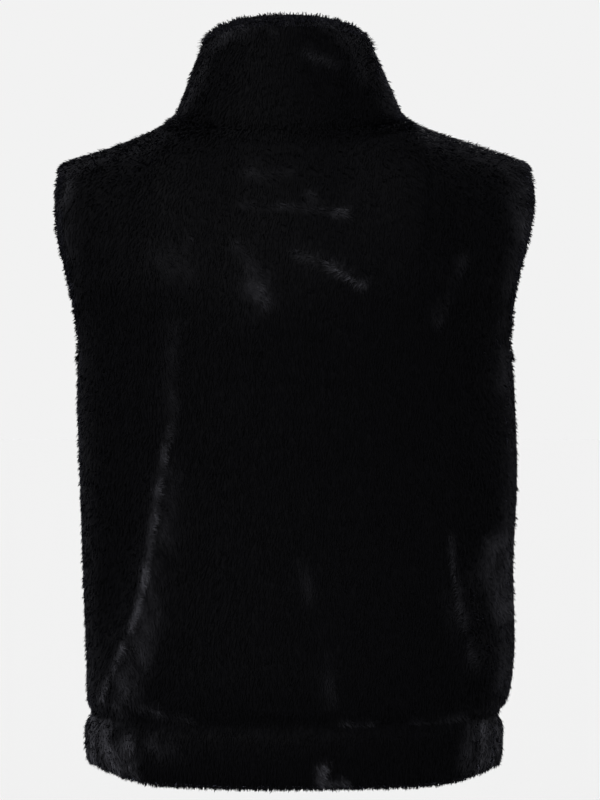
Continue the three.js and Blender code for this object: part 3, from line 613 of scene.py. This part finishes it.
def strandMap(count):  # each strand has a place of its own on the map, next to its neighbours'
    across = math.ceil(math.sqrt(count))
    cell = np.arange(count)
    corner = np.stack([cell % across, cell // across], 1)[:, None]
    shape = np.array([[0.12, 0.1], [0.88, 0.1], [0.8, 0.55], [0.2, 0.55], [0.5, 0.95]])
    return ((corner + shape) / across).reshape(-1, 2)


def thinned(grid, every, *fields):  # every few rows and columns of a grid, and always the last ones
    pick = np.ix_(*[np.unique([*range(0, size, every), size - 1]) for size in grid["left"].shape])
    return [grid[field][pick] for field in fields]


def skinOn(grid, kind, every=3, depth=furStyle["skinDepth"]):  # the dense undercoat between the strands
    surface, facing, left = thinned(grid, every, "pile", "facing", "left")
    flat = surface.reshape(-1, 3)
    uneven = 0.35 * wander(flat, 7, 21).reshape(left.shape) * left
    points = surface - facing * (depth * left + uneven)[..., None]
    down, across = left.shape
    v, u = np.meshgrid(np.linspace(0, 1, down), np.linspace(0, 1, across), indexing="ij")
    return {
        "points": points.reshape(-1, 3), "normals": facing.reshape(-1, 3), "quads": quadsOf(down, across),
        "tip": np.full(down * across, 0.6),
        "pale": strokeAt(flat, facing.reshape(-1, 3), kind)[1], "uv": np.stack([u.ravel(), v.ravel()], 1),
        "own": np.full(down * across, 0.5),
    }


noFaces = np.zeros((0, 3), int)


def quadsOf(down, across):
    i, j = np.meshgrid(np.arange(down - 1), np.arange(across - 1), indexing="ij")
    corner = (i * across + j).ravel()
    return np.stack([corner, corner + 1, corner + across + 1, corner + across], 1)


def rimGrid(edge, facing, out, under, through=180):
    middle = edge - facing * wall / 2
    turns = np.radians(np.linspace(0, through, 8))
    ways = [facing * math.cos(t) + out * math.sin(t) for t in turns]
    points = [middle + way * rimRadius for way in ways]
    left = [np.full(len(edge), 0.5)] * len(ways)
    if under:
        for share in (0.25, 0.5, 0.75, 1.0):
            away = share * under
            depth = wall * (1 + rollOff(away)) / 2 + rimRadius * (1 - share**2) - 1
            points.append(edge - out * away - facing * depth)
            ways.append(-facing)
            left.append(np.full(len(edge), mix(0.56, 0.4, share)))
    grid = gridOf(np.stack(points))
    if (grid["normal"] * np.stack(ways)).sum() < 0:
        grid = gridOf(np.stack(points)[:, ::-1])
        ways = [way[::-1] for way in ways]
    grid["pile"], grid["facing"], grid["left"] = grid["point"], unit(np.stack(ways)), np.stack(left)
    grid["seam"] = grid["b"] + noSeam
    return grid


def neckBridge():  # over the seam of body and collar, where the fur of both closes the crease
    rows = []
    for level in (-0.05, -0.025, 0.0, 0.05, 0.1):  # below the seam on the body, above it on the collar
        row = []
        for side, face, s in roundNeck(60, neckAt - 1e-6):
            sides = np.full(s.shape, side)
            if level < 0:
                row.append(bodyPoint(s, np.full(s.shape, 2 + level), sides, face))
            else:
                row.append(collarPoint(s, np.full(s.shape, level), sides, face))
        rows.append(np.concatenate(row))
    points = np.stack(rows)
    bulge = np.array([0.0, 1.3, 2.2, 1.3, 0.0])
    points[..., :2] += unit(points[..., :2]) * bulge[:, None, None]
    grid = gridOf(points)
    grid["pile"], grid["facing"] = points, grid["normal"]
    grid["left"], grid["seam"] = np.ones(points.shape[:2]), np.zeros(points.shape[:2])
    return grid


def fringeOf(grid, end, fromRow):  # beside an armhole or the collar's top, where the fur stands up and out
    field = {"first": np.s_[fromRow:, :5], "last": np.s_[fromRow:, -5:], "top": np.s_[-5:]}[end]
    strip = {key: values[field] for key, values in grid.items()}
    strip["facing"] = unit(strip["facing"] + furStyle["fringeOut"] * wayOut(strip, end))
    return strip


# How much of the bake's map each kind of part takes up; the shares of one piece add up to at most 1
mapShare = {"strands": 0.76, "skin": 0.06, "rim": 0.1, "rimSkin": 0.03, "fringe": 0.05, "bridge": 0.06}


def joinedParts(parts, shares):
    whole = {key: [] for key in ("points", "normals", "quads", "triangles", "tip", "pale", "uv", "own")}
    count, low = 0, 0.0
    for part, share in zip(parts, shares):
        margin = share * 0.02
        moved = {key: part.get(key, noFaces) + count for key in ("quads", "triangles")}
        moved["uv"] = part["uv"] * [0.996, share - 2 * margin] + [0.002, low + margin]
        for key, values in whole.items():
            values.append({**part, **moved}[key])
        count += len(part["points"])
        low += share
    return {key: np.concatenate(values) for key, values in whole.items()}


def meshFrom(name, data):
    mesh = bpy.data.meshes.new(name)
    quads, triangles = data.get("quads", noFaces), data.get("triangles", noFaces)
    loops = np.concatenate([quads.ravel(), triangles.ravel()]).astype(np.int32)
    starts = np.concatenate([np.arange(len(quads)) * 4, len(quads) * 4 + np.arange(len(triangles)) * 3])
    mesh.vertices.add(len(data["points"]))
    mesh.vertices.foreach_set("co", (data["points"] / 1000).astype(np.float32).ravel())
    mesh.loops.add(len(loops))
    mesh.loops.foreach_set("vertex_index", loops)
    mesh.polygons.add(len(starts))
    mesh.polygons.foreach_set("loop_start", starts.astype(np.int32))
    mesh.update(calc_edges=True)
    mesh.polygons.foreach_set("use_smooth", np.ones(len(starts), bool))
    for key in ("tip", "pale", "own"):
        if key in data:
            values = mesh.attributes.new(key, "FLOAT", "POINT")
            values.data.foreach_set("value", data[key].astype(np.float32))
    if "uv" in data:
        layer = mesh.uv_layers.new(name="OFBake", do_init=False)
        layer.uv.foreach_set("vector", data["uv"][loops].astype(np.float32).ravel())
    if "normals" in data:
        mesh.normals_split_custom_set_from_vertices(data["normals"].astype(np.float32))
    piece = bpy.data.objects.new(name, mesh)
    bpy.context.scene.collection.objects.link(piece)
    return piece


def furPiece(name, panelName, strands, seed, kind, span=(0, 1), past=None, rimDensity=0.6):
    whole = grids[panelName]
    count = whole["pile"].shape[0]
    cutRows = slice(int(span[0] * count), min(int(span[1] * count) + 1, count))
    grid = {key: values[cutRows] for key, values in whole.items()}
    parts = [strandsOn(grid, strands, seed, kind, past=past), skinOn(grid, kind)]
    shares = [mapShare["strands"], mapShare["skin"]]
    edges = []
    for n, (end, fromRow, under) in enumerate(freeEdges[panelName]):
        if end in ("first", "last"):
            first = max(fromRow, cutRows.start)
            if first >= cutRows.stop - 1:
                continue
            edge = [part[: cutRows.stop - first] for part in edgeOf(whole, end, first)]
        else:
            edge = edgeOf(whole, end, 0)
        fringe = fringeOf(whole, end, fromRow) if under and end != "bottom" else None
        edges.append((n, rimGrid(*edge, under, 180 if under else 130), fringe))
    for n, rim, fringe in edges:
        length = rim["a"][len(rim["a"]) // 2, -1]
        width = rim["b"][-1].mean()
        most = int(length * width * rimDensity)
        parts += [strandsOn(rim, most, seed + 50 + n, kind, rim=True), skinOn(rim, kind, 1, 2.0)]
        shares += [mapShare["rim"] / len(edges), mapShare["rimSkin"] / len(edges)]
        if fringe:
            most = int(length * furStyle["fringePerLength"])
            parts.append(strandsOn(fringe, most, seed + 80 + n, kind, rim=True))
            shares.append(mapShare["fringe"] / len(edges))
    if kind == "collar":
        parts.append(strandsOn(neckBridge(), furStyle["bridgeStrands"], seed + 70, kind))
        shares = [share * (1 - mapShare["bridge"]) for share in shares] + [mapShare["bridge"]]
    piece = meshFrom(name, joinedParts(parts, shares))
    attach(piece, "vest")
    return piece


def shellPiece(name, outer, inner):  # a thin closed sheet between two grids of points
    down, across = outer.shape[:2]
    faces, count = quadsOf(down, across), down * across
    corner = np.arange(count).reshape(down, across)
    rim = np.concatenate([corner[0, :-1], corner[:-1, -1], corner[-1, :0:-1], corner[:0:-1, 0]])
    sides = np.stack([rim, rim + count, np.roll(rim, -1) + count, np.roll(rim, -1)], 1)
    points = np.concatenate([outer.reshape(-1, 3), inner.reshape(-1, 3)])
    quads = np.concatenate([faces, faces[:, ::-1] + count, sides])
    piece = meshFrom(name, {"points": points, "quads": quads})
    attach(piece, "vest")
    return piece


backingStyle = {"thickness": 1.2, "inside": 0.3, "setBack": 1.6, "every": 4}


def backingPiece(name, panelName):  # the knitted cloth that the pile stands on
    fields = ("point", "normal", "left", "away")
    point, facing, left, away = thinned(grids[panelName], backingStyle["every"], *fields)
    setBack = backingStyle["setBack"] * smooth((5 - away) / 3)  # beside a free edge, inside the roll of fur
    depth = (wall * (1 + left) / 2 - backingStyle["inside"] - setBack)[..., None]
    piece = shellPiece(name, point - facing * (depth - backingStyle["thickness"]), point - facing * depth)
    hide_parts(panelName)
    return piece


# Materials
class Wire:
    def __init__(self, shader, socket):
        self.shader, self.socket = shader, socket

    def maths(self, operation, first, second):
        return self.shader.node("ShaderNodeMath", {"operation": operation}, {0: first, 1: second})

    def __add__(self, other):
        return self.maths("ADD", self, other)

    def __sub__(self, other):
        return self.maths("SUBTRACT", self, other)

    def __mul__(self, other):
        return self.maths("MULTIPLY", self, other)

    __radd__, __rmul__ = __add__, __mul__


def spaced(sockets):
    return {key.replace("_", " "): value for key, value in sockets.items()}


class Shader:  # the nodes of a material, or of the world
    def __init__(self, name, surface="Principled BSDF", **constants):
        self.owner = (bpy.data.worlds if surface == "Background" else bpy.data.materials).new(name)
        self.owner.use_nodes = True
        self.tree = self.owner.node_tree
        self.surface = self.tree.nodes[surface]
        self.feed(self.surface, spaced(constants))

    def feed(self, node, sockets):
        for key, value in sockets.items():
            socket = node.inputs[key]
            if isinstance(value, Wire):
                self.tree.links.new(value.socket, socket)
            else:
                socket.default_value = value

    def node(self, kind, settings=None, sockets=None, output=0):
        node = self.tree.nodes.new(kind)
        for key, value in (settings or {}).items():
            if key == "stops":
                ramp = node.color_ramp
                while len(ramp.elements) < len(value):
                    ramp.elements.new(0.5)
                for element, (position, colour) in zip(ramp.elements, value):
                    element.position, element.color = position, colour
            else:
                setattr(node, key, value)
        self.feed(node, sockets or {})
        return Wire(self, node.outputs[output])

    def place(self):
        return self.node("ShaderNodeTexCoord", output="Object")

    def value(self, name):
        return self.node("ShaderNodeAttribute", {"attribute_name": name}, output="Fac")

    def noise(self, scale, detail=3.0, where=None):
        return self.node("ShaderNodeTexNoise", sockets={
            "Vector": where or self.place(), "Scale": scale, "Detail": detail, "Roughness": 0.55,
        })

    def bands(self, direction, scale, distortion, detail=2.0, detailScale=1.0):
        return self.node("ShaderNodeTexWave", {"wave_type": "BANDS", "bands_direction": direction}, {
            "Vector": self.place(), "Scale": scale, "Distortion": distortion,
            "Detail": detail, "Detail Scale": detailScale,
        }, output="Fac")

    def colours(self, share, first, second, blend="MIX"):  # 6, 7 and 2 are the node's colour sockets
        settings = {"data_type": "RGBA", "blend_type": blend}
        return self.node("ShaderNodeMix", settings, {0: share, 6: first, 7: second}, output=2)

    def bump(self, height, strength, distance):
        sockets = {"Height": height, "Strength": strength, "Distance": distance}
        return self.node("ShaderNodeBump", sockets=sockets)

    def finish(self, **sockets):
        self.feed(self.surface, spaced(sockets))
        return self.owner


def grey(level, blue=1.0):
    return (level, level, level * blue, 1.0)


# pale and paleBlueness give the painted highlight's colour, lighter fur laid in where the nap catches the
# sheen
furLook = {
    "root": 0.0009, "tip": 0.0015, "pale": 0.042, "blueness": 1.32, "paleBlueness": 1.16,
    "roughness": 0.62, "gloss": 0.024,
    "sheen": 0.05, "sheenRoughness": 0.36, "sheenTint": (0.61, 0.62, 0.84, 1.0),
}


def furMaterial():
    shader = Shader(
        "plushFur", Specular_IOR_Level=furLook["gloss"], Sheen_Weight=furLook["sheen"],
        Sheen_Roughness=furLook["sheenRoughness"], Sheen_Tint=furLook["sheenTint"],
    )
    along, pale, own = shader.value("tip"), shader.value("pale"), shader.value("own")
    patches = shader.noise(9.0, 2.0)
    strands = shader.noise(420.0, 2.0)
    light = along * (0.45 + 0.75 * strands) * (0.75 + 0.5 * own)
    blue = furLook["blueness"]
    base = shader.colours(light, grey(furLook["root"], blue), grey(furLook["tip"], blue))
    # Painted highlight: the fur is made paler along the strokes, standing in for the sheen that the turned
    # nap catches
    wearAndPaintedSheen = pale * (0.25 + 0.9 * along) * (0.55 + 0.9 * strands)
    colour = shader.colours(wearAndPaintedSheen * 0.8 + patches * 0.01, base, grey(furLook["pale"], furLook["paleBlueness"]))
    roughness = furLook["roughness"] + 0.12 * patches - 0.1 * along
    return shader.finish(Base_Color=colour, Roughness=roughness)


def backingMaterial():
    shader = Shader("knittedBacking", Specular_IOR_Level=0.15, Sheen_Weight=0.1, Sheen_Roughness=0.5)
    ribs = shader.bands("DIAGONAL", 210.0, 1.4, detailScale=3.0)
    cells = {"Vector": shader.place(), "Scale": 620.0}
    loops = shader.node("ShaderNodeTexVoronoi", {"feature": "F1"}, cells, output="Distance")
    knit = ribs * 0.6 + loops * 0.4
    fluff = shader.noise(60.0, 4.0)
    colour = shader.colours(knit * 0.7 + fluff * 0.3, grey(0.004, 1.1), grey(0.016, 1.08))
    bump = shader.bump(knit, 0.5, 0.0006)
    return shader.finish(Base_Color=colour, Roughness=0.82 + 0.1 * fluff, Normal=bump)


furs, backings = furMaterial(), backingMaterial()
pastSeam, pastHem = {"past": furStyle["pastSeam"]}, {"past": furStyle["pastHem"]}
halfway = 0.46  # where the back's fur is divided, as a share of its rows
furPieces = [  # name, panel, strands, where it is, and how it differs
    ("fur_back_lower", "back", 54000, "body", {"span": (0, halfway), **pastSeam}),
    ("fur_back_upper", "back", 53000, "body", {"span": (halfway, 1)}),
    ("fur_front_left", "front_left", 39000, "body", pastSeam),
    ("fur_front_right", "front_right", 39000, "body", pastSeam),
    ("fur_collar", "collar", 23000, "collar", {"rimDensity": 0.8}),
    ("fur_hem_back", "hem_band_back", 13000, "band", pastHem),
    ("fur_hem_left", "hem_band_left", 6500, "band", pastHem),
    ("fur_hem_right", "hem_band_right", 6500, "band", pastHem),
]
pieces = {}
for seed, (name, panelName, strands, kind, extra) in enumerate(furPieces, 11):
    pieces.setdefault(panelName, []).append(furPiece(name, panelName, strands, seed, kind, **extra))
print("fur made")
for name, fur in pieces.items():
    backing = backingPiece("backing_" + name, name)
    backing.data.materials.append(backings)
    for piece in fur:
        piece.data.materials.append(furs)
print("backing made")


# The zip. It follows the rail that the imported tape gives: pairs of places, front and back, at one x.
zipStyle = {
    "toothPitch": 2.6, "toothWidth": 3.5, "toothHeight": 1.08, "toothDepth": 2.2, "toothSide": 1.15,
    "from": -596, "to": 18, "behindFur": -1.5, "tapeWidth": 12.2, "tapeInner": 1.3, "roundness": 1 / 260,
    "bead": 0.25, "beadAt": 2.1, "beadWidth": 0.7,  # the corded edge of a tape, beside the teeth
    "box": (8, 9.2, 3.4), "boxAt": -601.5, "boxDepth": -2.0,
}


def railOf(nodeName, x):
    points = np.array([v.co[:] for v in frame["nodes"][nodeName].data.vertices]) * 1000
    points = np.unique(points[np.abs(points[:, 0] - x) < 0.02].round(2), axis=0)
    pairs = []
    for p in points:
        other = points[np.argsort(np.linalg.norm(points - p, axis=1))[1]]
        if p[1] < other[1]:
            pairs.append((p[1:], other[1:]))
    return np.array(sorted(pairs, key=lambda pair: pair[0][1]))


zipRail = railOf("zip_tape_left", 1.2)


def railAt(height, depth):  # depth is measured back from the tape's front
    front, back = zipRail[:, 0], zipRail[:, 1]
    line = front + unit(back - front) * depth
    return np.stack([np.zeros(len(height)), np.interp(height, line[:, 1], line[:, 0]), height], 1)


def blockShape(size, segments):  # a block with rounded edges
    block = bmesh.new()
    bmesh.ops.create_cube(block, size=1.0)
    bmesh.ops.scale(block, vec=size, verts=block.verts)
    bmesh.ops.bevel(block, geom=block.edges[:], offset=min(size) * 0.2, segments=segments, affect="EDGES")
    bmesh.ops.triangulate(block, faces=block.faces[:])
    points = np.array([v.co[:] for v in block.verts])
    faces = np.array([[v.index for v in f.verts] for f in block.faces])
    block.free()
    return points, faces


def blocksOnRail(name, size, heights, depth, aside, segments=1):
    shape, faces = blockShape(size, segments)
    middle = railAt(heights, depth)
    up = unit(railAt(heights + 1, depth) - railAt(heights - 1, depth))
    out = np.cross([1.0, 0.0, 0.0], up)
    middle[:, 0] += aside
    points = middle[:, None]
    for k, way in enumerate((np.array([1.0, 0.0, 0.0]), up[:, None], out[:, None])):
        points = points + shape[None, :, k, None] * way
    triangles = (faces[None] + np.arange(len(heights))[:, None, None] * len(shape)).reshape(-1, 3)
    return meshFrom(name, {"points": points.reshape(-1, 3), "triangles": triangles})


def tapePiece(name, side):
    heights = np.linspace(zipRail[0, 0, 1] + 0.5, zipRail[-1, 0, 1] - 0.5, 260)
    across = np.linspace(0, 1, 8)
    layers = []
    for depth in (0.02, 0.98):
        x = zipStyle["tapeInner"] + zipStyle["tapeWidth"] * across
        bead = zipStyle["bead"] * np.exp(-(((x - zipStyle["beadAt"]) / zipStyle["beadWidth"]) ** 2))
        line = railAt(heights, depth)
        points = np.repeat(line[:, None], len(across), 1)
        points[..., 0] = x * side
        points[..., 1] += x**2 * zipStyle["roundness"] - bead * (depth < 0.5)
        layers.append(points if side > 0 else points[:, ::-1])
    return shellPiece(name, layers[0], layers[1])


tapes = [tapePiece("zip_tape_woven_left", 1), tapePiece("zip_tape_woven_right", -1)]
tooth = (zipStyle["toothWidth"], zipStyle["toothHeight"], zipStyle["toothDepth"])
heights = np.arange(zipStyle["from"], zipStyle["to"], zipStyle["toothPitch"])
aside, behind = zipStyle["toothSide"], zipStyle["behindFur"]
toothRows = [
    blocksOnRail("zip_teeth_left", tooth, heights, behind, aside),
    blocksOnRail("zip_teeth_right", tooth, heights + zipStyle["toothPitch"] / 2, behind, -aside),
]
boxHeights = np.array([zipStyle["boxAt"]])
bottomBox = blocksOnRail("zip_box_moulded", zipStyle["box"], boxHeights, zipStyle["boxDepth"], 0, segments=3)


def moulded():
    shader = Shader("mouldedPlastic", Specular_IOR_Level=0.4)
    specks, broad = shader.noise(900.0, 2.0), shader.noise(40.0, 3.0)
    colour = shader.colours(broad, grey(0.008), grey(0.014))
    bump = shader.bump(specks, 0.12, 0.0002)
    return shader.finish(Base_Color=colour, Roughness=0.3 + 0.14 * broad + 0.08 * specks, Normal=bump)


def woven():
    shader = Shader("wovenTape", Specular_IOR_Level=0.2, Sheen_Weight=0.12, Sheen_Roughness=0.4)
    weave = shader.bands("DIAGONAL", 420.0, 0.4) * 0.65 + shader.bands("Z", 560.0, 0.2) * 0.35
    fluff = shader.noise(150.0, 3.0)
    colour = shader.colours(weave * 0.75 + fluff * 0.25, grey(0.006, 1.05), grey(0.022, 1.05))
    bump = shader.bump(weave, 0.45, 0.0003)
    return shader.finish(Base_Color=colour, Roughness=0.78 + 0.1 * fluff, Normal=bump)


def darkMetal():
    shader = Shader("darkMetal", Specular_IOR_Level=0.5)
    stretch = {"Vector": shader.place(), "Scale": (1.0, 1.0, 0.12)}
    fine = shader.noise(1600.0, 2.0, shader.node("ShaderNodeMapping", sockets=stretch))
    cloudy = shader.noise(120.0)
    stops = [(0.55, grey(0.0)), (0.75, grey(1.0))]
    # Real wear on the metal: a cloudy, slightly lighter tone
    wearAndPaintedSheen = shader.node("ShaderNodeValToRGB", {"stops": stops}, {"Fac": cloudy})
    colour = shader.colours(fine * 0.5 + cloudy * 0.5, (0.011, 0.011, 0.012, 1), (0.030, 0.030, 0.033, 1))
    colour = shader.colours(0.025, colour, wearAndPaintedSheen, "ADD")
    bump = shader.bump(fine, 0.06, 0.0001)
    return shader.finish(Base_Color=colour, Roughness=0.24 + 0.16 * fine, Metallic=1.0, Normal=bump)


plastic, weave, metal = moulded(), woven(), darkMetal()
for tape, node in zip(tapes, ("zip_tape_left", "zip_tape_right")):
    tape.data.materials.append(weave)
    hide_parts(node)
for piece, node in ((toothRows[0], "zip_teeth"), (toothRows[1], "zip_teeth"), (bottomBox, "zip_bottom_box")):
    piece.data.materials.append(plastic)
    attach(piece, "vest")
    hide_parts(node)
for node in ("zip_slider", "zip_pull_tab"):
    frame["nodes"][node].data.materials.clear()
    frame["nodes"][node].data.materials.append(metal)
print("zip made")


# Plain pale floor, soft light from all round, and the camera
studio = {
    "floorDrop": 900, "floorReach": 40000, "floorSides": 96, "pale": 0.8895,
    "horizon": 0.887, "overhead": 1.03, "lampSize": 1.4, "lampSpread": 50,
}
lamps = [  # name, place, what it is turned to, and power
    ("key_light", (1.2, 2.5, 1.3), (0.0, 0.1, -0.25), 8),
    ("second_light", (-0.5, -2.8, 1.0), (0.0, -0.1, -0.25), 4),
]
view = {"distance": 2.5, "heightSeen": 0.76, "sensor": 36, "x": -0.00475, "z": -0.268}


def studioFloor():
    sides = studio["floorSides"]
    around = np.linspace(0, 2 * np.pi, sides + 1)[:-1]
    rim = np.stack([np.cos(around), np.sin(around), 0 * around], 1) * studio["floorReach"]
    points = np.concatenate([rim, [[0, 0, 0]]]) - [0, 0, studio["floorDrop"]]
    corner = np.arange(sides)
    fan = np.stack([np.full(sides, sides), corner, (corner + 1) % sides], 1)
    floor = meshFrom("studio_floor", {"points": points, "triangles": fan})
    shader = Shader("paleFloor", Roughness=0.95, Specular_IOR_Level=0.0)
    even = shader.colours(shader.noise(2.0), grey(studio["pale"]), grey(studio["pale"] * 0.998))
    floor.data.materials.append(shader.finish(Base_Color=even))
    return floor


def softLight(name, place, target, power, lit):
    lamp = bpy.data.lights.new(name, "AREA")
    lamp.shape, lamp.size, lamp.energy = "DISK", studio["lampSize"], power
    lamp.spread = math.radians(studio["lampSpread"])
    holder = bpy.data.objects.new(name, lamp)
    holder.location = place
    holder.rotation_euler = (Vector(target) - Vector(place)).to_track_quat("-Z", "Y").to_euler()
    holder.light_linking.receiver_collection = lit
    bpy.context.scene.collection.objects.link(holder)


def softSky():  # even at the horizon, where it meets the floor, and brighter overhead
    sky = Shader("softSky", "Background", Color=(1, 1, 1, 1))
    place = sky.node("ShaderNodeTexCoord", output="Generated")
    rise = sky.node("ShaderNodeMapRange", {"interpolation_type": "SMOOTHSTEP"}, {
        "Value": sky.node("ShaderNodeSeparateXYZ", sockets={"Vector": place}, output="Z"),
        "From Min": 0.2, "From Max": 0.75, "To Min": studio["horizon"], "To Max": studio["overhead"],
    })
    bpy.context.scene.world = sky.finish(Strength=rise)


floor = studioFloor()
garment = bpy.data.collections.new("garment")  # what the lamps light; the floor has the sky's even light
for piece in bpy.context.scene.objects:
    if piece.type == "MESH" and piece != floor:
        garment.objects.link(piece)
for name, place, target, power in lamps:
    softLight(name, place, target, power, garment)
softSky()
scene = bpy.context.scene
scene.view_settings.view_transform = "Standard"

lens = bpy.data.cameras.new("photo_camera")
lens.lens, lens.clip_end = view["sensor"] * view["distance"] / view["heightSeen"], 100
camera = bpy.data.objects.new("photo_camera", lens)
camera.location = (view["x"], view["distance"], view["z"])
camera.rotation_euler = (math.pi / 2, 0, math.pi)
scene.collection.objects.link(camera)
scene.camera = camera

print("studio ready")
